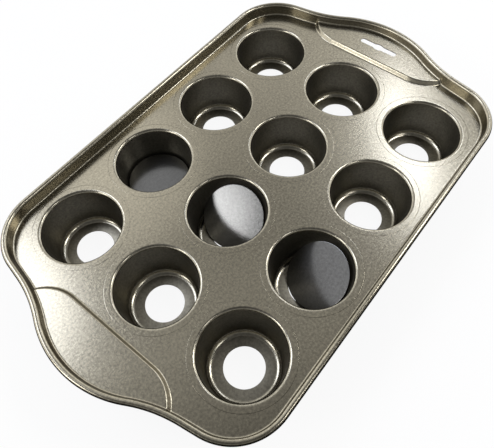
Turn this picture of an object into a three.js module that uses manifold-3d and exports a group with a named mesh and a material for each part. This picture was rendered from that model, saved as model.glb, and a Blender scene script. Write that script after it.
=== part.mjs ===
// Mini muffin pan with push-out bases. A drawn deck carries a grid of separate cups, its edge is curled
// round a wire, and every cup takes a loose round base that is pushed up through a finger hole.
// Millimetres, +Z up. The origin is under the middle of the grid, level with the undersides of the cups.

import * as THREE from 'three';
import { ConvexGeometry } from 'three/addons/geometries/ConvexGeometry.js';
import { ParametricGeometry } from 'three/addons/geometries/ParametricGeometry.js';
import { mergeVertices } from 'three/addons/utils/BufferGeometryUtils.js';
import loadManifold from 'manifold-3d';

// Sheet metal and the grid of cups
const SHEET = 0.6; // gauge of the deck and the cups
const ROWS = 4; // along X, from handle to handle
const COLUMNS = 3; // along Y
const CUP_LAND = 4.1; // flat deck between neighbouring lips
const SIDE_LAND = 4.4; // flat deck between the outer lips and the wall of the long sides
const END_LAND = 3.8; // flat deck between the end lips and the step of the grip pads

// Cups
const MOUTH_RADIUS = 27; // inside, at the top of the wall
const FOOT_RADIUS = 24.3; // inside, at the bottom of the wall
const CUP_DEPTH = 31.6; // from the top of the lip to the ledge
const CUP_FILLET = 4.5; // inside, between wall and ledge
const FINGER_HOLE_RADIUS = 13.5;
const LIP_WIDTH = 5.6; // from the mouth to the lip's edge
const LIP_ROUND = 2.2; // radius between the lip's flat top and the wall
const NECK_FLARE = 1; // how far the neck widens on its way up through the deck
const CRIMP_WIDTH = 1; // how far the crimp under the deck stands out from the neck
const CRIMP_HEIGHT = 1.6;

// Rim and handles
const WALL_HEIGHT = 7.2; // from the deck to the middle of the bead
const WALL_DRAFT = 0.6; // how far the wall leans out between deck and bead
const BEAD_RADIUS = 2; // outside of the curled edge
const CURL_TURN = 315; // degrees that the sheet turns round the wire
const HANDLE_DEPTH = 36; // from the step of a grip pad to the tip of its handle
const CROWN_ANGLE = 29.6; // degrees that a handle's round end turns, each side of its tip
const FLARE_RADIUS = 94; // hollow curve between the round end and the shoulder
const SHOULDER_ANGLE = 10; // degrees that the straight shoulder leans back
const SHOULDER_LENGTH = 11.3;
const CORNER_RADIUS = 38;

// Grip pads and hang slot
const PAD_RISE = 3; // above the deck
const PAD_STEP = 2; // run of the sloping step
const PAD_CORNER = 30; // radius of the pad's corners
const PAD_SETBACK = 4; // from the shoulder's start in to the pad's straight edge
const SLOT_LENGTH = 32;
const SLOT_WIDTH = 4.6;
const SLOT_BULGE_LENGTH = 10; // the wider middle of the slot that lets a peg settle
const SLOT_BULGE_WIDTH = 6.6;
const SLOT_FROM_TIP = 19.9; // from the tip of the handle to the middle of the slot

// Loose bases
const BASE_THICKNESS = 0.5;
const BASE_PLAY = 1.3; // between a base's edge and the bottom of the wall
const STACK_COUNT = 10; // bases kept in one cup, and the others lean in the next two
const STACK_ROW = 1;
const STACK_COLUMN = 0;
const LEAN_HEADINGS = [6, -28]; // degrees from +X, the way each leaning base rises
const LEAN_INSET = 0.75; // from the finger hole's edge to the foot of a leaning base
const LEAN_PLAY = 1; // between a leaning base and the wall
const LEAN_TRIAL = 0.5; // degrees between the leans that are tried

// Clearances
const SEAT_GAP = 0.1; // between pieces that lie on each other
const HOLE_FIT = 0.3; // between a cup and its hole in the deck
const LIP_FIT = 0.15; // between a lip's edge and the seat sunk for it in the deck
const WIRE_FIT = 0.3; // between the wire and the curl round it

// Facets
const CUP_SIDES = 24;
const FILLET_STEPS = 2;
const ENTRY_STEPS = 3;
const SLOT_STEPS = 6;
const WIRE_SIDES = 6;
const CURL_STEPS = 8;
const CROWN_STEPS = 4;
const FLARE_STEPS = 3;
const CORNER_STEPS = 6;
const PAD_CORNER_STEPS = 5;

// Levels and sizes that follow from the ones above
const LEDGE_TOP = SHEET;
const DECK_TOP = LEDGE_TOP + CUP_DEPTH; // the lips lie level with the deck
const DECK_BOTTOM = DECK_TOP - SHEET;
const SEAT_TOP = DECK_BOTTOM - SEAT_GAP;
const SEAT_BOTTOM = SEAT_TOP - SHEET;
const WALL_TOP = DECK_TOP - LIP_ROUND;
const WALL_BOTTOM = LEDGE_TOP + CUP_FILLET;
const BEAD_LEVEL = DECK_TOP + WALL_HEIGHT;
const RIM_TOP = BEAD_LEVEL + BEAD_RADIUS;
const LIP_RADIUS = MOUTH_RADIUS + LIP_WIDTH;
const PITCH = 2 * LIP_RADIUS + CUP_LAND; // cup to cup, both ways
const NECK_RADIUS = MOUTH_RADIUS + SHEET + NECK_FLARE;
const LEDGE_RADIUS = FOOT_RADIUS - CUP_FILLET;
const BASE_RADIUS = FOOT_RADIUS - BASE_PLAY;
const WALL_INSET = 2 * BEAD_RADIUS + WALL_DRAFT; // from the pan's outer edge to the foot of the wall
const HALF_WIDTH = ((COLUMNS - 1) / 2) * PITCH + LIP_RADIUS + SIDE_LAND + WALL_INSET;
const STEP_X = ((ROWS - 1) / 2) * PITCH + LIP_RADIUS + END_LAND;
const TIP_X = STEP_X + HANDLE_DEPTH;

const wasm = await loadManifold();
wasm.setup();

// Turns a closed three.js geometry into a solid that can be joined and cut.
function solidOf(geometry) {
  const bare = geometry.clone();
  bare.deleteAttribute('normal');
  bare.deleteAttribute('uv');
  const welded = mergeVertices(bare);
  return new wasm.Manifold(new wasm.Mesh({
    numProp: 3,
    vertProperties: welded.getAttribute('position').array,
    triVerts: new Uint32Array(welded.getIndex().array),
  }));
}

function geometryOf(solid) {
  const mesh = solid.getMesh();
  const geometry = new THREE.BufferGeometry();
  geometry.setAttribute('position', new THREE.BufferAttribute(mesh.vertProperties, 3));
  geometry.setIndex(new THREE.BufferAttribute(mesh.triVerts, 1));
  geometry.computeVertexNormals();
  return geometry;
}

function direction(degrees) {
  const angle = THREE.MathUtils.degToRad(degrees);
  return new THREE.Vector2(Math.cos(angle), Math.sin(angle));
}

function arc(from, to, steps, pointAt) {
  return Array.from({ length: steps + 1 }, (_, i) => pointAt(direction(from + ((to - from) * i) / steps)));
}

function prism(shape, bottom, top, curveSegments = CUP_SIDES / 2) {
  const settings = { depth: top - bottom, bevelEnabled: false, curveSegments };
  return new THREE.ExtrudeGeometry(shape, settings).translate(0, 0, bottom);
}

// The pan's outer edge as stations, each a point with its outward normal. A quarter runs from the tip of a
// handle over its round end, the hollow flare and the straight shoulder to the corner, and is then mirrored.
function edgeQuarter() {
  const crownEnd = direction(CROWN_ANGLE);
  const shoulder = direction(SHOULDER_ANGLE);
  const cornerY = HALF_WIDTH - CORNER_RADIUS;
  const flareEndY = cornerY + CORNER_RADIUS * shoulder.y - SHOULDER_LENGTH * shoulder.x;
  const crownRadius = (flareEndY - FLARE_RADIUS * (crownEnd.y - shoulder.y)) / crownEnd.y;
  const crownCentre = new THREE.Vector2(TIP_X - crownRadius, 0);
  const flareCentre = crownCentre.clone().addScaledVector(crownEnd, crownRadius + FLARE_RADIUS);
  const flareEnd = flareCentre.clone().addScaledVector(shoulder, -FLARE_RADIUS);
  const cornerReach = flareEnd.dot(shoulder) - CORNER_RADIUS - cornerY * shoulder.y;
  const cornerCentre = new THREE.Vector2(cornerReach / shoulder.x, cornerY);
  const station = (centre, radius) => (normal) => ({
    point: centre.clone().addScaledVector(normal, radius),
    normal,
  });
  return {
    flareEnd,
    stations: [
      ...arc(0, CROWN_ANGLE, CROWN_STEPS, station(crownCentre, crownRadius)),
      ...arc(CROWN_ANGLE, SHOULDER_ANGLE, FLARE_STEPS, station(flareCentre, -FLARE_RADIUS)).slice(1),
      ...arc(SHOULDER_ANGLE, 90, CORNER_STEPS, station(cornerCentre, CORNER_RADIUS)),
    ],
  };
}

function mirrored(stations, x, y) {
  const flip = new THREE.Vector2(x, y);
  return stations.map(({ point, normal }) => ({
    point: point.clone().multiply(flip),
    normal: normal.clone().multiply(flip),
  })).reverse();
}

const quarter = edgeQuarter();
const upperHalf = [...quarter.stations, ...mirrored(quarter.stations, -1, 1)];
const edge = [...upperHalf, ...mirrored(upperHalf.slice(1, -1), 1, -1)];
const PAD_HALF_WIDTH = quarter.flareEnd.y - PAD_SETBACK;

function edgeShape(inset) {
  return new THREE.Shape(edge.map(({ point, normal }) => point.clone().addScaledVector(normal, -inset)));
}

// Carries a closed section round the pan's edge. A section point is (distance in from the edge, height), and
// the section runs anticlockwise when it is seen with the outside of the pan on its right.
function sweptRing(section) {
  const place = (u, v, target) => {
    const { point, normal } = edge[Math.round(u * edge.length) % edge.length];
    const { x: inset, y: height } = section[Math.round(v * section.length) % section.length];
    target.set(point.x - normal.x * inset, point.y - normal.y * inset, height);
  };
  return mergeVertices(new ParametricGeometry(place, edge.length, section.length));
}

// Deck: the wall and its curl in one section, with a short flange that runs into the flat sheet
function rimSection() {
  const flange = WALL_INSET + BEAD_RADIUS;
  const curl = (radius) => arc(180, 180 - CURL_TURN, CURL_STEPS, (way) => (
    new THREE.Vector2(BEAD_RADIUS - radius * way.x, BEAD_LEVEL + radius * way.y)));
  return [
    new THREE.Vector2(flange, DECK_BOTTOM),
    new THREE.Vector2(WALL_INSET - SHEET, DECK_BOTTOM),
    ...curl(BEAD_RADIUS - SHEET),
    ...curl(BEAD_RADIUS).reverse(),
    new THREE.Vector2(WALL_INSET, DECK_TOP + SHEET),
    new THREE.Vector2(WALL_INSET + SHEET, DECK_TOP),
    new THREE.Vector2(flange, DECK_TOP),
  ];
}

function cupCentres() {
  const centres = [];
  for (let row = 0; row < ROWS; row += 1) {
    for (let column = 0; column < COLUMNS; column += 1) {
      centres.push({
        row,
        column,
        x: (row - (ROWS - 1) / 2) * PITCH,
        y: ((COLUMNS - 1) / 2 - column) * PITCH,
      });
    }
  }
  return centres;
}

function roundBlock({ x, y }, radius, bottom, top) {
  return solidOf(prism(new THREE.Shape().absarc(x, y, radius, 0, 2 * Math.PI, false), bottom, top));
}

// The flat sheet, with a seat sunk for the lip of each cup and a hole for its neck
function deckSheet() {
  const seatRadius = LIP_RADIUS + LIP_FIT;
  const flat = solidOf(prism(edgeShape(WALL_INSET + BEAD_RADIUS / 2), DECK_BOTTOM, DECK_TOP));
  return cupCentres().reduce((sheet, centre) => sheet
    .add(roundBlock(centre, seatRadius + SHEET, SEAT_BOTTOM, DECK_TOP))
    .subtract(roundBlock(centre, seatRadius, SEAT_TOP, RIM_TOP))
    .subtract(roundBlock(centre, NECK_RADIUS + HOLE_FIT, LEDGE_TOP, RIM_TOP)), flat);
}

// A block with the outline of a grip pad, which runs out past the tip of the handle. The outline is drawn
// in by inset, its sides are upright up to foot and then slope in to its top.
function padBlock(side, inset, bottom, foot, top) {
  const ring = (shrink, height) => {
    const corner = PAD_CORNER - shrink;
    const halfWidth = PAD_HALF_WIDTH - shrink;
    const start = STEP_X + shrink;
    const farX = TIP_X + BEAD_RADIUS;
    const rounding = arc(180, 90, PAD_CORNER_STEPS, (way) => (
      new THREE.Vector2(start + corner, halfWidth - corner).addScaledVector(way, corner)));
    const upper = [...rounding, new THREE.Vector2(farX, halfWidth)];
    return upper.flatMap(({ x, y }) => [
      new THREE.Vector3(side * x, y, height),
      new THREE.Vector3(side * x, -y, height),
    ]);
  };
  return solidOf(new ConvexGeometry([
    ...ring(inset, bottom),
    ...ring(inset, foot),
    ...ring(inset + PAD_STEP, top),
  ]));
}

function hangSlot() {
  const x = TIP_X - SLOT_FROM_TIP;
  const end = SLOT_WIDTH / 2;
  const reach = SLOT_LENGTH / 2 - end;
  const outline = new THREE.Shape();
  outline.absarc(x, reach, end, 0, Math.PI, false);
  outline.absarc(x, -reach, end, Math.PI, 2 * Math.PI, false);
  const bulge = new THREE.Shape();
  bulge.absellipse(x, 0, SLOT_BULGE_WIDTH / 2, SLOT_BULGE_LENGTH / 2, 0, 2 * Math.PI, false);
  const cut = (shape) => solidOf(prism(shape, DECK_TOP, RIM_TOP, SLOT_STEPS));
  return cut(outline).add(cut(bulge));
}

function deckGeometry() {
  let deck = deckSheet().add(solidOf(sweptRing(rimSection())));
  const insideWall = solidOf(prism(edgeShape(2 * BEAD_RADIUS - SHEET / 2), DECK_BOTTOM, RIM_TOP));
  [-1, 1].forEach((side) => {
    const pad = padBlock(side, 0, DECK_BOTTOM, DECK_TOP, DECK_TOP + PAD_RISE);
    const hollow = padBlock(side, SHEET, DECK_BOTTOM - PAD_RISE, DECK_BOTTOM, DECK_BOTTOM + PAD_RISE);
    deck = deck.add(pad.intersect(insideWall)).subtract(hollow);
  });
  return geometryOf(deck.subtract(hangSlot()));
}

function wireGeometry() {
  const radius = BEAD_RADIUS - SHEET - WIRE_FIT;
  const ring = arc(0, 360, WIRE_SIDES, (way) => (
    new THREE.Vector2(BEAD_RADIUS - radius * way.x, BEAD_LEVEL + radius * way.y)));
  return sweptRing(ring.slice(0, -1));
}

function cupFillet(radius) {
  const centre = new THREE.Vector2(LEDGE_RADIUS, WALL_BOTTOM);
  return arc(-90, 0, FILLET_STEPS, (way) => centre.clone().addScaledVector(way, radius));
}

// Cup: one closed profile, up the outside from the ledge to the lip and down the inside again
function cupGeometry() {
  const crimpTop = SEAT_BOTTOM - SEAT_GAP;
  const entryCentre = new THREE.Vector2(MOUTH_RADIUS + LIP_ROUND, WALL_TOP);
  const profile = [
    new THREE.Vector2(FINGER_HOLE_RADIUS, 0),
    ...cupFillet(CUP_FILLET + SHEET),
    new THREE.Vector2(MOUTH_RADIUS + SHEET, crimpTop - CRIMP_HEIGHT),
    new THREE.Vector2(NECK_RADIUS + CRIMP_WIDTH, crimpTop - CRIMP_HEIGHT / 2),
    new THREE.Vector2(NECK_RADIUS, crimpTop),
    new THREE.Vector2(NECK_RADIUS, DECK_BOTTOM),
    new THREE.Vector2(LIP_RADIUS, DECK_BOTTOM),
    new THREE.Vector2(LIP_RADIUS, DECK_TOP),
    ...arc(90, 180, ENTRY_STEPS, (way) => entryCentre.clone().addScaledVector(way, LIP_ROUND)),
    ...cupFillet(CUP_FILLET).reverse(),
    new THREE.Vector2(FINGER_HOLE_RADIUS, LEDGE_TOP),
    new THREE.Vector2(FINGER_HOLE_RADIUS, 0),
  ];
  return mergeVertices(new THREE.LatheGeometry(profile, CUP_SIDES).rotateX(Math.PI / 2));
}

function wallRadius(height) {
  const rise = (height - WALL_BOTTOM) / (WALL_TOP - WALL_BOTTOM);
  return FOOT_RADIUS + (MOUTH_RADIUS - FOOT_RADIUS) * THREE.MathUtils.clamp(rise, 0, 1);
}

// A flat base comes to rest where its edge meets the facets of the fillet, or on the ledge if it is smaller.
function flatSeat() {
  const facets = cupFillet(CUP_FILLET);
  const next = Math.max(1, facets.findIndex(({ x }) => x > BASE_RADIUS));
  const from = facets[next - 1];
  const to = facets[next];
  const share = Math.max(0, (BASE_RADIUS - from.x) / (to.x - from.x));
  return THREE.MathUtils.lerp(from.y, to.y, share) + SEAT_GAP;
}

// A leaning base stands in the finger hole with its foot and rises across the cup. This is the flattest lean,
// in degrees, at which its whole edge stays clear of the wall.
function leanAngle() {
  const foot = FINGER_HOLE_RADIUS - LEAN_INSET;
  const clears = (lean) => {
    const slope = direction(lean);
    return arc(0, 180, CUP_SIDES, (way) => {
      const along = BASE_RADIUS * (1 - way.x);
      const radius = Math.hypot(along * slope.x - foot, BASE_RADIUS * way.y);
      return wallRadius(LEDGE_TOP + along * slope.y) - radius;
    }).every((gap) => gap > LEAN_PLAY);
  };
  let lean = 0;
  while (lean < 90 && !clears(lean)) lean += LEAN_TRIAL;
  return lean;
}

const nonStick = { color: 0x8c897a, roughness: 0.42, metalness: 0.85 };
const cupCoat = { color: 0x6f6c61, roughness: 0.45, metalness: 0.85 };
const wireSteel = { color: 0x9a9a98, roughness: 0.4, metalness: 1 };
const baseCoat = { color: 0x77777a, roughness: 0.5, metalness: 0.7 };

function part(name, geometry, finish) {
  const mesh = new THREE.Mesh(geometry, new THREE.MeshStandardMaterial(finish));
  mesh.name = name;
  return mesh;
}

const pan = new THREE.Group();
pan.add(part('deck', deckGeometry(), nonStick));
pan.add(part('rim_wire', wireGeometry(), wireSteel));

cupCentres().forEach(({ row, column, x, y }) => {
  const cup = part(`cup_r${row + 1}c${column + 1}`, cupGeometry(), cupCoat);
  cup.position.set(x, y, 0);
  pan.add(cup);
});

// Base: a plain disc whose underside is at the height of its own origin
function base(number) {
  const disc = new THREE.CylinderGeometry(BASE_RADIUS, BASE_RADIUS, BASE_THICKNESS, CUP_SIDES);
  disc.rotateX(Math.PI / 2).translate(0, 0, BASE_THICKNESS / 2).deleteAttribute('uv');
  return part(`base_${String(number).padStart(2, '0')}`, mergeVertices(disc), baseCoat);
}

const stackCup = cupCentres().find(({ row, column }) => row === STACK_ROW && column === STACK_COLUMN);
for (let layer = 0; layer < STACK_COUNT; layer += 1) {
  const disc = base(layer + 1);
  disc.position.set(stackCup.x, stackCup.y, flatSeat() + layer * (BASE_THICKNESS + SEAT_GAP));
  pan.add(disc);
}

const lean = THREE.MathUtils.degToRad(leanAngle());
LEAN_HEADINGS.forEach((heading, index) => {
  const turn = new THREE.Group();
  turn.position.set(stackCup.x, stackCup.y - (index + 1) * PITCH, LEDGE_TOP);
  turn.rotation.z = THREE.MathUtils.degToRad(heading);
  const disc = base(STACK_COUNT + 1 + index);
  disc.rotation.y = -lean;
  disc.position.set(BASE_RADIUS * Math.cos(lean), 0, BASE_RADIUS * Math.sin(lean));
  disc.position.x -= FINGER_HOLE_RADIUS - LEAN_INSET;
  turn.add(disc);
  pan.add(turn);
});

export default pan;
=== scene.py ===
import bmesh
import bpy
import numpy as np
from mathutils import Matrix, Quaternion, Vector


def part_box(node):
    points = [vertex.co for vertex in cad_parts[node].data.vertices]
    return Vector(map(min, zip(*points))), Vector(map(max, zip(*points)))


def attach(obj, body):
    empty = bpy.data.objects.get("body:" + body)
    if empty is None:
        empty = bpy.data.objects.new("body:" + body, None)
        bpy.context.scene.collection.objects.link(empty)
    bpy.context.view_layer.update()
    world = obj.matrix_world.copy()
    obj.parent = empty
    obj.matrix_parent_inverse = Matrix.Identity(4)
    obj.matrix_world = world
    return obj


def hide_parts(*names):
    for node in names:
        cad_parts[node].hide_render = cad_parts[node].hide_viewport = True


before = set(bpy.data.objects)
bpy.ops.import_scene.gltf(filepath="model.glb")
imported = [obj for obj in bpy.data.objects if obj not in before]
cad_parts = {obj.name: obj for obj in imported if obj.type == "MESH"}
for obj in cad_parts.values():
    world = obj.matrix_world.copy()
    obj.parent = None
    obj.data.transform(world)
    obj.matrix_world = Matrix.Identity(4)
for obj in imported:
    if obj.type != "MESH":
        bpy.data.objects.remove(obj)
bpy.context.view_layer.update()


# Deck. A thin steel sheet, pressed with a raised wall all round, a grip pad at each handle and a sunk seat
# with a hole for every cup, curled outwards along its edge, with a peg slot punched through one pad. Its
# satin non-stick coat has fine metal flakes. Its outside is painted dark, as the shade under the curl,
# and its steep walls are painted darker, as shade.
gauge = 0.6
cup_pitch = 69.3
deck_top = 32.2
deck_hole, seat_radius, seat_drop = 28.9, 32.75, 0.7
handle_tip = 176.35
crown_turn, shoulder_turn = np.radians((29.6, 10.0))
crown_radius, flare_radius, corner_radius = 77.465, 94.0, 38.0
shoulder_length = 11.3
wall_inset, foot_round = 4.6, 1.1
bead_radius, bead_level, curl_end = 2.0, 39.4, -135.0
pad_front, pad_half, pad_corner = 140.35, 64.37, 30.0
pad_rise, pad_run, pad_soft = 3.0, 2.0, 0.45
slot_middle, slot_length, slot_width = 156.45, 32.0, 4.6
bulge_length, bulge_width = 10.0, 6.6
deck_tint, deck_shade = (0.4, 0.363, 0.272), (0.245, 0.222, 0.168)
# Painted shade: the deck's outside and the outer side of its curl keep 0.06 of the coat's lightness
rim_outside_shade, bead_steep = 0.06, 0.84
# Painted shade on steep inner faces, whose mark grows to 0.55; the cups' bottom ring gets 0.4 and is darker
upright_shade, level_share, bottom_dark = 0.55, 0.8, 0.4
flakes_per_metre, peel_per_metre, clouds_per_metre = 650, 420, 16
cloud_share, tint_span, flake_span = 0.35, (0.45, 0.9), (0.3, 0.7)
grain_rough, peel_strength, peel_height = 0.6, 0.05, 0.00004
path_samples, edge_samples, rim_stations, station_gap = 40001, 6001, 150, 0.5
weld_gap, sliver, sharp_angle = 3e-6, 1e-6, 40.0


def rim_edge(along):
    """Points and outward normals of a quarter of the pan's outer edge, at shares of its length from a
    handle's tip, and that length. The normal's heading is piecewise linear along the edge: it swings out
    over the crown, back over the flare, holds over the shoulder, swings square over the corner and holds
    along the side. The points are the running sum of the tangents."""
    side = handle_tip + crown_radius * (np.cos(crown_turn) - 1) - shoulder_length * np.sin(shoulder_turn)
    side -= flare_radius * (np.cos(shoulder_turn) - np.cos(crown_turn))
    side -= corner_radius * np.cos(shoulder_turn)
    lengths = (0, crown_radius * crown_turn, flare_radius * (crown_turn - shoulder_turn), shoulder_length,
               corner_radius * (np.pi / 2 - shoulder_turn), side)
    breaks = np.cumsum(lengths)
    fine = np.linspace(0, breaks[-1], path_samples)
    heading = np.interp(fine, breaks, (0, crown_turn, shoulder_turn, shoulder_turn, np.pi / 2, np.pi / 2))
    tangent = np.stack((-np.sin(heading), np.cos(heading)), -1)
    strides = (tangent[1:] + tangent[:-1]) / 2 * fine[1]
    path = np.array((handle_tip, 0.0)) + np.vstack(((0.0, 0.0), np.cumsum(strides, axis=0)))
    along = breaks[-1] * np.asarray(along)
    turn = np.interp(along, fine, heading)
    points = np.stack([np.interp(along, fine, path[:, i]) for i in (0, 1)], -1)
    return points, np.stack((np.cos(turn), np.sin(turn)), -1), breaks[-1]


def pad_depth(points):
    """How far points lie inside the outline of a grip pad: the corner radius less the distance to the pad's
    outline drawn in by that radius, which is the distance field of a rectangle with rounded corners."""
    gap = np.abs(points) - (pad_front + pad_corner, pad_half - pad_corner)
    return pad_corner - np.hypot(np.maximum(-gap[..., 0], 0), np.maximum(gap[..., 1], 0))


def pad_height(depth):
    """Height of the sheet over the deck at a depth inside a pad: the integral of a slope that grows from
    nothing, holds over the step and fades again, each change spread over twice the softness of the press
    tool."""
    def ramp(reach):
        """A slope's integral: a parabola while the slope grows to 1, and a straight line from there on."""
        return np.clip(reach, 0, 2 * pad_soft) ** 2 / (4 * pad_soft) + np.maximum(reach - 2 * pad_soft, 0)
    return pad_rise * (ramp(depth + pad_soft) - ramp(depth + pad_soft - pad_run)) / pad_run


def whole_rim(quarter):
    """A loop round the pan from rows that run from the +X handle's tip to the middle of the +Y side: the
    rows are mirrored across the Y axis and then across the X axis, and the shared ones are kept once."""
    flip_x, flip_y = np.ones(quarter.shape[-1]), np.ones(quarter.shape[-1])
    flip_x[0], flip_y[1] = -1, -1
    half = np.concatenate((quarter, (quarter * flip_x)[::-1][1:]))
    return np.concatenate((half, (half * flip_y)[::-1][1:-1]))


def line(start, end, count):
    """Evenly spaced points from start up to, but not at, end."""
    return np.asarray(start) + np.linspace(0, 1, count, endpoint=False)[:, None] * np.subtract(end, start)


def at_level(points, level):
    """Points in plan set at a level, which is one number or one for each point."""
    return np.concatenate((points, np.broadcast_to(level, points.shape[:-1])[..., None]), -1)


def cells(rows, columns, close_rows=False, close_columns=False):
    """Corner numbers of the four-sided cells of a grid of points, counted row by row. A closed way joins
    its last line to its first."""
    r = np.arange(rows if close_rows else rows - 1)[:, None]
    c = np.arange(columns if close_columns else columns - 1)[None, :]
    r_next, c_next = (r + 1) % rows, (c + 1) % columns
    corners = (r * columns + c, r * columns + c_next, r_next * columns + c_next, r_next * columns + c)
    return np.stack(corners, -1).reshape(-1, 4)


def mesh_of(name, patches, extra_faces=()):
    """One mesh, in metres, from patches of points in millimetres, each with its faces. Points that meet are
    joined and the faces are turned to one side."""
    starts = np.cumsum([0] + [points.reshape(-1, 3).shape[0] for points, _ in patches])
    points = np.concatenate([points.reshape(-1, 3) for points, _ in patches]) * 0.001
    faces = [face for start, (_, some) in zip(starts, patches) for face in (some + start).tolist()]
    mesh = bpy.data.meshes.new(name)
    mesh.from_pydata(points.tolist(), [], faces + [list(face) for face in extra_faces])
    work = bmesh.new()
    work.from_mesh(mesh)
    bmesh.ops.remove_doubles(work, verts=work.verts, dist=weld_gap)
    bmesh.ops.dissolve_degenerate(work, edges=work.edges, dist=sliver)
    bmesh.ops.recalc_face_normals(work, faces=work.faces)
    work.to_mesh(mesh)
    work.free()
    return mesh


def add_piece(name, mesh, material, body, node):
    """Shows a mesh as the piece that stands for a node and rides on a body. Its faces are shaded smooth,
    but for edges that turn by more than the sharp angle."""
    mesh.shade_smooth()
    mesh.set_sharp_from_angle(angle=np.radians(sharp_angle))
    mesh.materials.append(material)
    piece = bpy.data.objects.new(name, mesh)
    bpy.context.scene.collection.objects.link(piece)
    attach(piece, body)
    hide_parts(node)


def mark_darkening(mesh, axis, steep, bottom=0.0):
    """Marks how much each face of a pressing is darkened and dulled, from 0 to 1. Faces on its outside,
    which look down or are steep and look away from an axis, get 1; steep is the largest upward share of
    their normals.
    On the inside the mark grows as a face stands up, as painted shade, and faces that lie lower than the
    bottom's height get a mark of their own. Lengths are in millimetres."""
    count = len(mesh.polygons)
    normals, middles = np.empty(count * 3), np.empty(count * 3)
    mesh.polygons.foreach_get("normal", normals)
    mesh.polygons.foreach_get("center", middles)
    normals, away = normals.reshape(-1, 3), middles.reshape(-1, 3)[:, :2] - np.multiply(axis, 0.001)
    facing = (normals[:, :2] * away).sum(1) > 0
    outside = (normals[:, 2] < -steep) | (facing & (normals[:, 2] < steep))
    inside = upright_shade * np.clip(1 - np.abs(normals[:, 2]) / level_share, 0, 1)
    inside = np.where(middles[2::3] < bottom * 0.001, bottom_dark, inside)
    dark_mark = np.where(outside, 1.0, inside)
    mesh.attributes.new("dark_mark", "FLOAT", "FACE").data.foreach_set("value", dark_mark)


def flake_coat(name, tint, shade, smooth, rough, edge, clear, haze, outer=None, dull=0.0):
    """A sprayed metallic coat: two tints mixed by fine flakes and a slow cloud, a roughness that follows
    the flakes, a slight orange peel and a clear varnish with a haze. Edge is what is left of the shine at
    grazing angles. Outer is the lightness of faces whose dark mark is full, which lose the varnish, and
    dull is their least roughness. Faces with part of the mark lie between. On steep faces and the deck's
    outside this darkening is painted shade."""
    material = bpy.data.materials.new(name)
    material.use_nodes = True
    nodes, links = material.node_tree.nodes, material.node_tree.links
    shader = nodes["Principled BSDF"]
    shader.inputs["Metallic"].default_value = 1.0
    shader.inputs["Specular Tint"].default_value = (edge, edge, edge, 1)
    shader.inputs["Coat Weight"].default_value = clear
    shader.inputs["Coat Roughness"].default_value = haze
    place = nodes.new("ShaderNodeTexCoord")

    def noise(scale, detail):
        """Noise over the piece's own place, with a scale in waves per metre and detail in finer layers."""
        texture = nodes.new("ShaderNodeTexNoise")
        texture.inputs["Scale"].default_value = scale
        texture.inputs["Detail"].default_value = detail
        texture.inputs["Roughness"].default_value = grain_rough
        links.new(place.outputs["Object"], texture.inputs["Vector"])
        return texture.outputs["Fac"]

    flakes, peel, cloud = noise(flakes_per_metre, 2), noise(peel_per_metre, 2), noise(clouds_per_metre, 3)
    blend = nodes.new("ShaderNodeMath")
    blend.operation = "MULTIPLY_ADD"
    blend.inputs[1].default_value = cloud_share
    links.new(cloud, blend.inputs[0])
    links.new(flakes, blend.inputs[2])
    tints = nodes.new("ShaderNodeValToRGB")
    tints.color_ramp.elements[0].position, tints.color_ramp.elements[1].position = tint_span
    tints.color_ramp.elements[0].color, tints.color_ramp.elements[1].color = (*shade, 1), (*tint, 1)
    links.new(blend.outputs[0], tints.inputs["Fac"])
    links.new(tints.outputs["Color"], shader.inputs["Base Color"])
    gloss = nodes.new("ShaderNodeMapRange")
    gloss.inputs["From Min"].default_value, gloss.inputs["From Max"].default_value = flake_span
    gloss.inputs["To Min"].default_value, gloss.inputs["To Max"].default_value = smooth, rough
    links.new(flakes, gloss.inputs["Value"])
    links.new(gloss.outputs["Result"], shader.inputs["Roughness"])
    # Darkening by the face's mark: painted shade on steep faces and on the deck's outside
    if outer:
        mark = nodes.new("ShaderNodeAttribute")
        mark.attribute_name = "dark_mark"

        def by_mark(unmarked, dark_mark):
            """A number in a straight line from its first value to its second, as the face's dark mark goes
            from 0 to 1.
            """
            level = nodes.new("ShaderNodeMapRange")
            level.inputs["To Min"].default_value, level.inputs["To Max"].default_value = unmarked, dark_mark
            links.new(mark.outputs["Fac"], level.inputs["Value"])
            return level.outputs["Result"]

        # Painted shade: the tints are darkened by the face's mark
        darkened_tints = nodes.new("ShaderNodeVectorMath")
        darkened_tints.operation = "SCALE"
        links.new(tints.outputs["Color"], darkened_tints.inputs[0])
        links.new(by_mark(1.0, outer), darkened_tints.inputs["Scale"])
        links.new(darkened_tints.outputs["Vector"], shader.inputs["Base Color"])
        links.new(by_mark(edge, edge * outer), shader.inputs["Specular Tint"])
        links.new(by_mark(clear, 0.0), shader.inputs["Coat Weight"])
        dullest = nodes.new("ShaderNodeMath")
        dullest.operation = "MAXIMUM"
        links.new(gloss.outputs["Result"], dullest.inputs[0])
        links.new(by_mark(0.0, dull), dullest.inputs[1])
        links.new(dullest.outputs["Value"], shader.inputs["Roughness"])
    bumps = nodes.new("ShaderNodeBump")
    bumps.inputs["Strength"].default_value = peel_strength
    bumps.inputs["Distance"].default_value = peel_height
    links.new(peel, bumps.inputs["Height"])
    links.new(bumps.outputs["Normal"], shader.inputs["Normal"])
    return material


step_depths = np.linspace(-pad_soft, pad_run + pad_soft, 13)
foot_inset = wall_inset + foot_round
fine_edge, fine_out, edge_length = rim_edge(np.linspace(0, 1, edge_samples))
fine_depth = pad_depth(fine_edge - foot_inset * fine_out)
fine_stations = np.linspace(0, edge_length, edge_samples)
step_stations = np.interp(step_depths, fine_depth[::-1], fine_stations[::-1])
fixed_stations = np.append(step_stations, edge_length - cup_pitch)
stations = np.linspace(0, edge_length, rim_stations)
stations = stations[np.abs(stations[:, None] - fixed_stations).min(1) > station_gap]
stations = np.sort(np.concatenate((stations, fixed_stations)))
edge, outward, _ = rim_edge(stations / edge_length)
foot = edge - foot_inset * outward
foot_level = deck_top + pad_height(pad_depth(foot))

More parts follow.
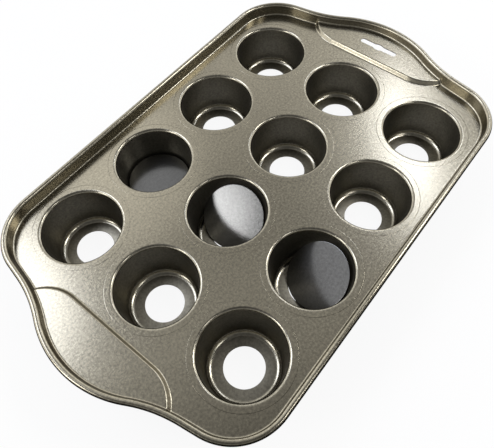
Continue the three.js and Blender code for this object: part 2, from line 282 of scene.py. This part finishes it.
# The wall's section, in from the edge and up: foot rounding, wall, and the curl over and round the bead
bend = np.linspace(0, np.pi / 2, 7)
rise = np.linspace(0, 1, 5)[1:-1]
roll = np.radians(np.linspace(180, curl_end, 36))
section_in = np.concatenate((
    wall_inset + foot_round * (1 - np.sin(bend)),
    wall_inset + rise * (2 * bead_radius - wall_inset),
    bead_radius * (1 - np.cos(roll))))
section_up = np.concatenate((
    deck_top + foot_round * (1 - np.cos(bend)),
    deck_top + foot_round + rise * (bead_level - deck_top - foot_round),
    bead_level + bead_radius * np.sin(roll)))
section_lift = np.concatenate((np.ones_like(bend), 1 - rise, np.zeros_like(roll)))
wall = at_level(
    edge[:, None] - outward[:, None] * section_in[:, None],
    section_up + section_lift * (foot_level - deck_top)[:, None])
wall_patch = whole_rim(wall.reshape(len(stations), -1, 3))
deck_patches = [(wall_patch, cells(*wall_patch.shape[:2], close_rows=True))]

# The step of a pad: lines at each depth from wall to wall, round one corner, straight and round the other
crossing = foot[np.searchsorted(stations, step_stations)]
corner_middle = np.array((pad_front + pad_corner, pad_half - pad_corner))
end_turn = np.arctan2(*(crossing - corner_middle).T[::-1])
cell_turn = np.arcsin((cup_pitch / 2 - corner_middle[1]) / (pad_corner + pad_soft)) / (np.pi - end_turn[0])
shares = np.sort(np.append(np.linspace(0, 1, 31), cell_turn))
turns = np.pi - shares * (np.pi - end_turn)[:, None]
radii = (pad_corner - step_depths)[:, None]
step_corner = corner_middle + np.stack((radii * np.cos(turns), radii * np.sin(turns)), -1)
straight = np.linspace(-1, 1, 41)[1:-1] * corner_middle[1]
step_straight = np.stack(np.broadcast_arrays((pad_front + step_depths)[:, None], straight), -1)
step_lines = np.concatenate((step_corner[:, ::-1] * (1, -1), step_straight, step_corner), 1)
step_levels = deck_top + pad_height(step_depths)[:, None]
step_patch = at_level(step_lines, step_levels)

# The top of a pad: rings from the peg slot, or its place, out to the step and the wall's foot
lead = np.searchsorted(stations, step_stations[-1])
pad_rim = np.concatenate((foot[lead:0:-1] * (1, -1), foot[:lead + 1]))
pad_loop = np.concatenate((pad_rim, step_lines[-1][-2:0:-1]))
ray = pad_loop - (slot_middle, 0.0)
slot_end = slot_width / 2
slot_reach = slot_length / 2 - slot_end


def slot_edge(turn):
    """Edge of the peg slot at each heading from its middle: a long slot with round ends, joined with an
    ellipse at its middle. The farther of the two along the ray is the edge."""
    way = np.stack((np.cos(turn), np.sin(turn)), -1)
    side = np.minimum(slot_end / np.maximum(np.abs(way[:, 0]), 1e-9), slot_length)
    over = np.abs(side * way[:, 1]) > slot_reach
    lift = slot_reach * np.abs(way[:, 1])
    around = lift + np.sqrt(np.maximum(slot_end ** 2 - slot_reach ** 2 + lift ** 2, 0))
    bulge = 1 / np.hypot(way[:, 0] * 2 / bulge_width, way[:, 1] * 2 / bulge_length)
    return way * np.maximum(np.where(over, around, side), bulge)[:, None]


slot_ring = slot_edge(np.arctan2(ray[:, 1], ray[:, 0])) + (slot_middle, 0.0)
last_ring = 0.985
spread = np.append(np.linspace(0, 1, 7)[:-1], (last_ring, 1))[:, None, None]
pad_patch = at_level(slot_ring + spread * (pad_loop - slot_ring), deck_top + pad_rise)

# The flat round the cups: circles from each hole, over the seat of its lip, out to the cup's own cell
far_y = foot[-1, 1]
half = cup_pitch / 2
front_line = step_lines[0]
cell_mark = np.flatnonzero(np.abs(front_line[:, 1] - half) < 1e-6)[0]
front_x = front_line[cell_mark, 0]
side_mark = np.searchsorted(stations, edge_length - cup_pitch - 1e-9)
step_mark = np.searchsorted(stations, step_stations[0] - 1e-9)
corner_rim = np.concatenate((front_line[cell_mark:-1], foot[step_mark:side_mark]))
end_rim = front_line[len(front_line) - 1 - cell_mark:cell_mark]
across = 20
inner_cell = np.concatenate((
    line((0, -half), (cup_pitch, -half), across), line((cup_pitch, -half), (cup_pitch, half), across),
    line((cup_pitch, half), (0, half), across), line((0, half), (0, -half), across)))
end_cell = np.concatenate((
    line((cup_pitch, -half), (front_x, -half), across), end_rim,
    line((front_x, half), (cup_pitch, half), across), line((cup_pitch, half), (cup_pitch, -half), across)))
side_cell = np.concatenate((
    line((0, half), (cup_pitch, half), across), line((cup_pitch, half), (cup_pitch, far_y), across),
    foot[side_mark:-1], line((0, far_y), (0, half), across)))
corner_cell = np.concatenate((
    line((cup_pitch, half), (front_x, half), across), corner_rim,
    line((cup_pitch, far_y), (cup_pitch, half), across)))
land_rings = (33.4, 33.9)
rings = np.array((deck_hole, seat_radius, seat_radius, *land_rings))
ring_drop = np.array((seat_drop, seat_drop, 0, 0, 0))
flat_margin = 0.3


def cup_cell(loop, middle):
    """Sheet round a cup's hole: circles about the middle, of which the inner two lie lower and make the
    seat, then a line just inside the loop of its cell, and that loop. Circle points lie on the rays to the
    loop's points."""
    ray = loop - middle
    way = ray / np.hypot(*ray.T)[:, None]
    circles = at_level(middle + rings[:, None, None] * way, (deck_top - ring_drop)[:, None])
    return np.concatenate((circles, at_level(np.stack((loop - flat_margin * way, loop)), deck_top)))


cell_kinds = (
    (inner_cell, (half, 0.0), (1,)), (end_cell, (3 * half, 0.0), (1,)),
    (side_cell, (half, cup_pitch), (1, -1)), (corner_cell, (3 * half, cup_pitch), (1, -1)))
for loop, middle, sides in cell_kinds:
    patch = cup_cell(loop, np.array(middle))
    for mirror in [(x, y, 1) for x in (1, -1) for y in sides]:
        deck_patches.append((patch * mirror, cells(*patch.shape[:2], close_columns=True)))
for mirror in ((1, 1, 1), (-1, 1, 1)):
    deck_patches.append((step_patch * mirror, cells(*step_patch.shape[:2])))
    deck_patches.append((pad_patch * mirror, cells(*pad_patch.shape[:2], close_columns=True)))
blank_start = sum(points.reshape(-1, 3).shape[0] for points, _ in deck_patches[:-1])
slot_blank = np.arange(blank_start, blank_start + len(pad_loop))
deck_mesh = mesh_of("deck_sheet", deck_patches, [slot_blank])
if np.mean([face.normal.z for face in deck_mesh.polygons]) < 0:
    deck_mesh.flip_normals()
pressed = bpy.data.objects.new("deck_pressed", deck_mesh)
bpy.context.scene.collection.objects.link(pressed)
thickness = pressed.modifiers.new("gauge", "SOLIDIFY")
thickness.thickness, thickness.offset, thickness.use_even_offset = gauge * 0.001, -1, True
deck_mesh = bpy.data.meshes.new_from_object(pressed.evaluated_get(bpy.context.evaluated_depsgraph_get()))
bpy.data.objects.remove(pressed)
# Marks the deck's outside and its steep walls for painted shade
mark_darkening(deck_mesh, (0, 0), bead_steep)
deck_coat = flake_coat(
    "champagne_deck_coat", deck_tint, deck_shade, smooth=0.2, rough=0.24, edge=0.35, clear=0.6, haze=0.2,
    outer=rim_outside_shade)
add_piece("pan_deck", deck_mesh, deck_coat, "pan", "deck")


# Rim wire. A plain drawn steel wire, bent to the pan's outline to stiffen it. The deck's edge is curled
# round it, so it shows only through the gap that the curl leaves underneath.
wire_radius = 1.1
wire_tint, wire_shade = (0.5, 0.5, 0.48), (0.4, 0.4, 0.39)
wire_turn = np.linspace(0, 2 * np.pi, 14, endpoint=False)
wire_in = bead_radius - wire_radius * np.cos(wire_turn)
wire_up = bead_level + wire_radius * np.sin(wire_turn)
wire_quarter = at_level(edge[:, None] - outward[:, None] * wire_in[:, None], wire_up)
wire_patch = whole_rim(wire_quarter)
wire_mesh = mesh_of("rim_wire_round", [(wire_patch, cells(*wire_patch.shape[:2], True, True))])
drawn_wire = flake_coat(
    "drawn_steel_wire", wire_tint, wire_shade, smooth=0.25, rough=0.4, edge=1.0, clear=0.0, haze=0.2)
add_piece("pan_rim_wire", wire_mesh, drawn_wire, "pan", "rim_wire")


# Cups. Each is drawn from one steel blank: a ring to stand on round a punched finger hole, a rounded foot,
# a tapered wall and a flat lip. The lip lies level in its seat, coated like the deck, and a crimp rolled
# under the deck holds it there. Inside, the coat is greyer. Its steep walls are painted darker, as shade,
# and duller; the ring at the bottom is darker and duller, and the outside is dark and rough.
cup_rows, cup_columns = 4, 3
finger_hole, hole_break = 13.5, 0.15
ledge_top, ledge_radius = 0.6, 19.8
foot_fillet = 4.5
mouth_radius, lip_round = 27.0, 2.2
neck_radius, crimp_radius, crimp_low, crimp_high, crimp_half = 28.6, 29.6, 29.2, 30.8, 0.55
lip_radius, lip_edge, lip_dip = 32.69, 0.12, 0.05
ledge_reach, cup_steep = 0.7, 0.4
cup_tint, cup_shade = (0.4, 0.37, 0.295), (0.245, 0.227, 0.181)
cup_outer, cup_dull = 0.15, 0.9


def bow(middle, reach, start, end, count):
    """Points of an ellipse's arc about middle, with its two half-widths in reach, between two angles in
    degrees."""
    turn = np.radians(np.linspace(start, end, count))
    return np.asarray(middle) + np.stack((reach[0] * np.cos(turn), reach[1] * np.sin(turn)), -1)


def lathe(profile, sides):
    """A closed ring: the profile's points, each a radius and a height, carried round the Z axis."""
    turn = np.linspace(0, 2 * np.pi, sides, endpoint=False)[:, None]
    radius, height = profile.T
    ring = np.stack(np.broadcast_arrays(radius * np.cos(turn), radius * np.sin(turn), height), -1)
    return ring, cells(sides, len(profile), True, True)


cup_profile = np.concatenate((
    bow((finger_hole + hole_break, hole_break), (hole_break, hole_break), 180, 270, 4),
    bow((ledge_radius, ledge_top + foot_fillet), (foot_fillet + gauge,) * 2, -90, 0, 12),
    [(mouth_radius + gauge, crimp_low)],
    bow((neck_radius, (crimp_low + crimp_high) / 2), (crimp_radius - neck_radius, crimp_half), -80, 80, 7),
    [(neck_radius, crimp_high), (neck_radius, deck_top - gauge), (lip_radius, deck_top - gauge)],
    bow((lip_radius - lip_edge, deck_top - lip_edge), (lip_edge, lip_edge), 0, 90, 5),
    [(lip_radius - 3 * lip_edge, deck_top), (mouth_radius + lip_round + 3 * lip_edge, deck_top)],
    bow((mouth_radius + lip_round, deck_top - lip_round), (lip_round, lip_round), 90, 180, 19),
    bow((ledge_radius, ledge_top + foot_fillet), (foot_fillet,) * 2, 0, -90, 12),
    bow((finger_hole + hole_break, ledge_top - hole_break), (hole_break, hole_break), 90, 180, 4)))


def lip_faces(mesh):
    """Marks with 1 the faces of the lip's flat top, whose middles dip hardly below the deck's level, and
    the others with 0."""
    middles = np.empty(len(mesh.polygons) * 3)
    mesh.polygons.foreach_get("center", middles)
    return (middles[2::3] > (deck_top - lip_dip) * 0.001).astype(np.int32)


cup_ring, cup_faces = lathe(cup_profile, 120)
cup_coat = flake_coat(
    "champagne_cup_coat", cup_tint, cup_shade, smooth=0.2, rough=0.24, edge=0.35, clear=0.0, haze=0.2,
    outer=cup_outer, dull=cup_dull)
for row in range(cup_rows):
    for column in range(cup_columns):
        place = ((row - (cup_rows - 1) / 2) * cup_pitch, ((cup_columns - 1) / 2 - column) * cup_pitch, 0)
        node = f"cup_r{row + 1}c{column + 1}"
        cup_mesh = mesh_of(f"{node}_drawn", [(cup_ring + place, cup_faces)])
        # Painted shade on the steep walls; a darker bottom ring and a darker outside
        mark_darkening(cup_mesh, place[:2], cup_steep, ledge_reach)
        add_piece(f"pan_{node}", cup_mesh, cup_coat, "pan", node)
        cup_mesh.materials.append(deck_coat)
        cup_mesh.polygons.foreach_set("material_index", lip_faces(cup_mesh))


# Bases. Loose round plates, stamped from steel with a dark grey coat, one for each cup. A finger through
# the hole pushes them up. Ten lie stacked in one cup, and two stand in their finger holes and lean.
base_radius, base_thickness = 23.0, 0.5
base_edge, base_pole = 0.15, 0.02
stack_cup, stack_count = (-cup_pitch / 2, cup_pitch), 10
stack_level, stack_step = 1000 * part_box("base_01")[0][2], 0.6
lean, lean_foot = np.radians(36.5), 12.75
leaning = (("base_11", (-cup_pitch / 2, 0.0), 6.0), ("base_12", (-cup_pitch / 2, -cup_pitch), -28.0))
base_tint, base_shade = (0.13, 0.13, 0.129), (0.09, 0.09, 0.089)
base_profile = np.concatenate((
    [(base_pole, 0), (base_radius / 2, 0)],
    bow((base_radius - base_edge, base_edge), (base_edge, base_edge), -90, 0, 4),
    bow((base_radius - base_edge, base_thickness - base_edge), (base_edge, base_edge), 0, 90, 4),
    [(base_radius - 3 * base_edge, base_thickness), (base_radius / 2, base_thickness)],
    [(base_pole, base_thickness)]))
base_ring, base_faces = lathe(base_profile, 120)
base_coat = flake_coat(
    "grey_base_coat", base_tint, base_shade, smooth=0.16, rough=0.2, edge=0.5, clear=0.5, haze=0.5)
for layer in range(stack_count):
    node = f"base_{layer + 1:02d}"
    place = (*stack_cup, stack_level + layer * stack_step)
    base_mesh = mesh_of(f"{node}_plate", [(base_ring + place, base_faces)])
    add_piece(f"pan_{node}", base_mesh, base_coat, node, node)
for node, middle, heading in leaning:
    x, y, z = np.moveaxis(base_ring, -1, 0)
    out = (x + base_radius) * np.cos(lean) - z * np.sin(lean) - lean_foot
    up = (x + base_radius) * np.sin(lean) + z * np.cos(lean) + ledge_top
    east, north = np.cos(np.radians(heading)), np.sin(np.radians(heading))
    tilted = np.stack((middle[0] + out * east - y * north, middle[1] + out * north + y * east, up), -1)
    base_mesh = mesh_of(f"{node}_plate", [(tilted, base_faces)])
    add_piece(f"pan_{node}", base_mesh, base_coat, node, node)


# Studio. A wide white floor that the pan stands on, a pale world that is greyer at the far side and dark
# behind the camera, and soft oval lamps to the left, to the right and at the far side.
floor_reach = 6
floor_white, floor_rough = (0.85, 0.85, 0.85, 1), 0.9
floor_corners = [(x * floor_reach, y * floor_reach, 0) for x, y in ((-1, -1), (1, -1), (1, 1), (-1, 1))]
floor_mesh = bpy.data.meshes.new("studio_floor")
floor_mesh.from_pydata(floor_corners, [], [(0, 1, 2, 3)])
floor = bpy.data.objects.new("studio_floor", floor_mesh)
bpy.context.scene.collection.objects.link(floor)
white = bpy.data.materials.new("white_floor")
white.use_nodes = True
nodes, links = white.node_tree.nodes, white.node_tree.links
nodes["Principled BSDF"].inputs["Base Color"].default_value = floor_white
nodes["Principled BSDF"].inputs["Roughness"].default_value = floor_rough

# The floor glows white where it is looked at, and only a little where the pan mirrors it
seen = nodes.new("ShaderNodeLightPath").outputs
glow_share = None
for ray, share in (("Is Camera Ray", 0.9), ("Is Transmission Ray", 0.9), ("Is Glossy Ray", 0.1)):
    part = nodes.new("ShaderNodeMath")
    part.operation = "MULTIPLY"
    links.new(seen[ray], part.inputs[0])
    part.inputs[1].default_value = share
    if glow_share is None:
        glow_share = part.outputs[0]
        continue
    most = nodes.new("ShaderNodeMath")
    most.operation = "MAXIMUM"
    links.new(glow_share, most.inputs[0])
    links.new(part.outputs[0], most.inputs[1])
    glow_share = most.outputs[0]
glow = nodes.new("ShaderNodeEmission")
glow.inputs["Color"].default_value = (1, 1, 1, 1)
glow.inputs["Strength"].default_value = 1.0
floor_mix = nodes.new("ShaderNodeMixShader")
links.new(glow_share, floor_mix.inputs["Fac"])
links.new(nodes["Principled BSDF"].outputs["BSDF"], floor_mix.inputs[1])
links.new(glow.outputs["Emission"], floor_mix.inputs[2])
links.new(floor_mix.outputs["Shader"], nodes["Material Output"].inputs["Surface"])
floor_mesh.materials.append(white)

# The world's light goes by height, and is less on the camera's side and at the far side
world = bpy.data.worlds.new("pale_studio")
bpy.context.scene.world = world
world.use_nodes = True
nodes, links = world.node_tree.nodes, world.node_tree.links
toward = nodes.new("ShaderNodeTexCoord")
parts = nodes.new("ShaderNodeSeparateXYZ")
links.new(toward.outputs["Generated"], parts.inputs["Vector"])
sky = nodes.new("ShaderNodeValToRGB")
levels = (
    (0.0, 2.4), (0.3, 2.2), (0.48, 1.2), (0.69, 0.85),
    (0.76, 0.6), (0.82, 0.47), (0.88, 0.37), (0.94, 0.6))
for position, _ in levels[1:-1]:
    sky.color_ramp.elements.new(position)
for stop, (position, level) in zip(sky.color_ramp.elements, levels):
    stop.position, stop.color = position, (level, level, level, 1)
links.new(parts.outputs["Z"], sky.inputs["Fac"])
camera_side, far_side = (-0.3237, -0.6943, 0.6428), (0.643, 0.766, 0.0)


def fade(way, start, end, least):
    """Share of the sky's light that is left in each direction: it falls from 1 to the least share as the
    direction's dot product with a way grows from start to end."""
    nearness = nodes.new("ShaderNodeVectorMath")
    nearness.operation = "DOT_PRODUCT"
    nearness.inputs[1].default_value = way
    links.new(toward.outputs["Generated"], nearness.inputs[0])
    share = nodes.new("ShaderNodeMapRange")
    share.inputs["From Min"].default_value, share.inputs["From Max"].default_value = start, end
    share.inputs["To Min"].default_value, share.inputs["To Max"].default_value = 1.0, least
    links.new(nearness.outputs["Value"], share.inputs["Value"])
    return share.outputs["Result"]


level = nodes.new("ShaderNodeMath")
level.operation = "MULTIPLY"
links.new(fade(camera_side, start=0.37, end=0.6, least=0.25), level.inputs[0])
links.new(fade(far_side, start=0.8, end=0.9, least=0.65), level.inputs[1])
links.new(sky.outputs["Color"], nodes["Background"].inputs["Color"])
links.new(level.outputs["Value"], nodes["Background"].inputs["Strength"])


def soft_lamp(name, azimuth, elevation, distance, width, height, radiance, lean=0.0, tone=(1.0, 1.0, 1.0)):
    """An oval lamp that faces the pan from a distance, at an azimuth from +X and an elevation in degrees,
    and that leans to its side by an angle. Its power is radiance times pi times its area, and its tone is
    its colour."""
    lamp = bpy.data.lights.new(name, "AREA")
    lamp.color = tone
    lamp.shape, lamp.size, lamp.size_y = "ELLIPSE", width, height
    lamp.energy = radiance * np.pi * np.pi * width * height / 4
    turn, lift = np.radians((azimuth, elevation))
    way = Vector((np.cos(turn) * np.cos(lift), np.sin(turn) * np.cos(lift), np.sin(lift)))
    holder = bpy.data.objects.new(name, lamp)
    holder.location = way * distance
    holder.rotation_mode = "QUATERNION"
    holder.rotation_quaternion = (-way).to_track_quat("-Z", "Y") @ Quaternion((0, 0, 1), np.radians(lean))
    bpy.context.scene.collection.objects.link(holder)


daylight = (0.92, 0.98, 1.14)
soft_lamp("lamp_far_left", 110, 50, 1.6, 0.7, 0.7, 5.2, tone=daylight)
soft_lamp("lamp_fill", 71, 51, 1.6, 0.6, 0.55, 0.75)
soft_lamp("lamp_far_right", 8.5, 48.5, 1.6, 0.13, 0.62, 8.0, lean=40, tone=daylight)
soft_lamp("lamp_right", -36, 52, 0.9, 0.26, 0.26, 11.5)
soft_lamp("lamp_near_right", -85, 50, 1.6, 0.32, 0.32, 7.0)
soft_lamp("lamp_near_left", 157.5, 35.5, 1.6, 0.4, 0.4, 8.2)


# Camera. It looks down from above the pan's near corner, a little rolled on its axis, as in the photo. Its
# place and lens come from the twelve mouths, read as equal circles on a grid.
eye = Vector((-0.154716, -0.126261, 0.317378))
aim = Vector((0.364758, 0.331602, -0.870053))
camera_roll, lens, sensor = np.radians(-4.016), 36.137, 36.0
camera = bpy.data.objects.new("photo_camera", bpy.data.cameras.new("photo_camera"))
camera.data.sensor_fit, camera.data.sensor_width, camera.data.lens = "HORIZONTAL", sensor, lens
camera.location = eye
camera.rotation_mode = "QUATERNION"
camera.rotation_quaternion = aim.to_track_quat("-Z", "Y") @ Quaternion((0, 0, 1), camera_roll)
bpy.context.scene.collection.objects.link(camera)
bpy.context.scene.camera = camera
bpy.context.scene.view_settings.view_transform = "Standard"
